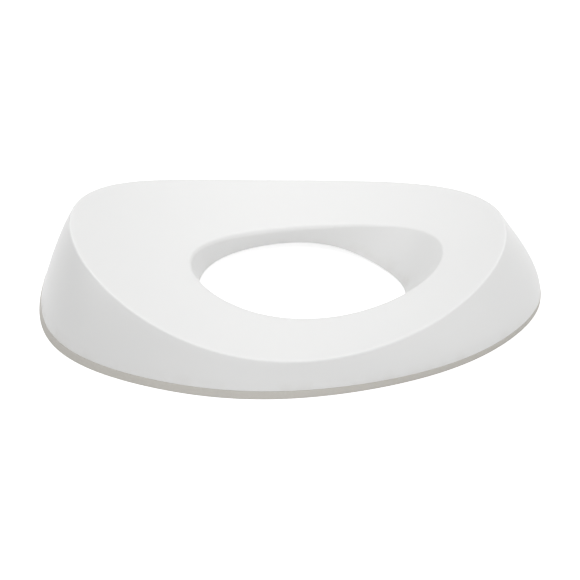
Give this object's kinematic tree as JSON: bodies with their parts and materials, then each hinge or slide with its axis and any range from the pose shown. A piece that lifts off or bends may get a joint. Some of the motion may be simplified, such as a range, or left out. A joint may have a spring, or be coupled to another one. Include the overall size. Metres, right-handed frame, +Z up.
{
  "type": "toilet seat reducer",
  "caption": "White moulded child's toilet seat reducer with a saddle-shaped top and an egg-shaped hole, standing on a soft taupe grip band round its base.",
  "frame": {"origin": "on the floor plane under the middle of the base's bounding box", "axes": "+Z up; the long axis lies along Y, with the front of the seat towards -Y and its higher back towards +Y; the part is its own mirror image across X = 0"},
  "size_m": [0.2806, 0.3597, 0.0641],
  "materials": {
    "shell": "satin",
    "grip": "matte"
  },
  "bodies": {
    "root": {"seat_shell": "shell", "grip_band": "grip"}
  },
  "joints": []
}
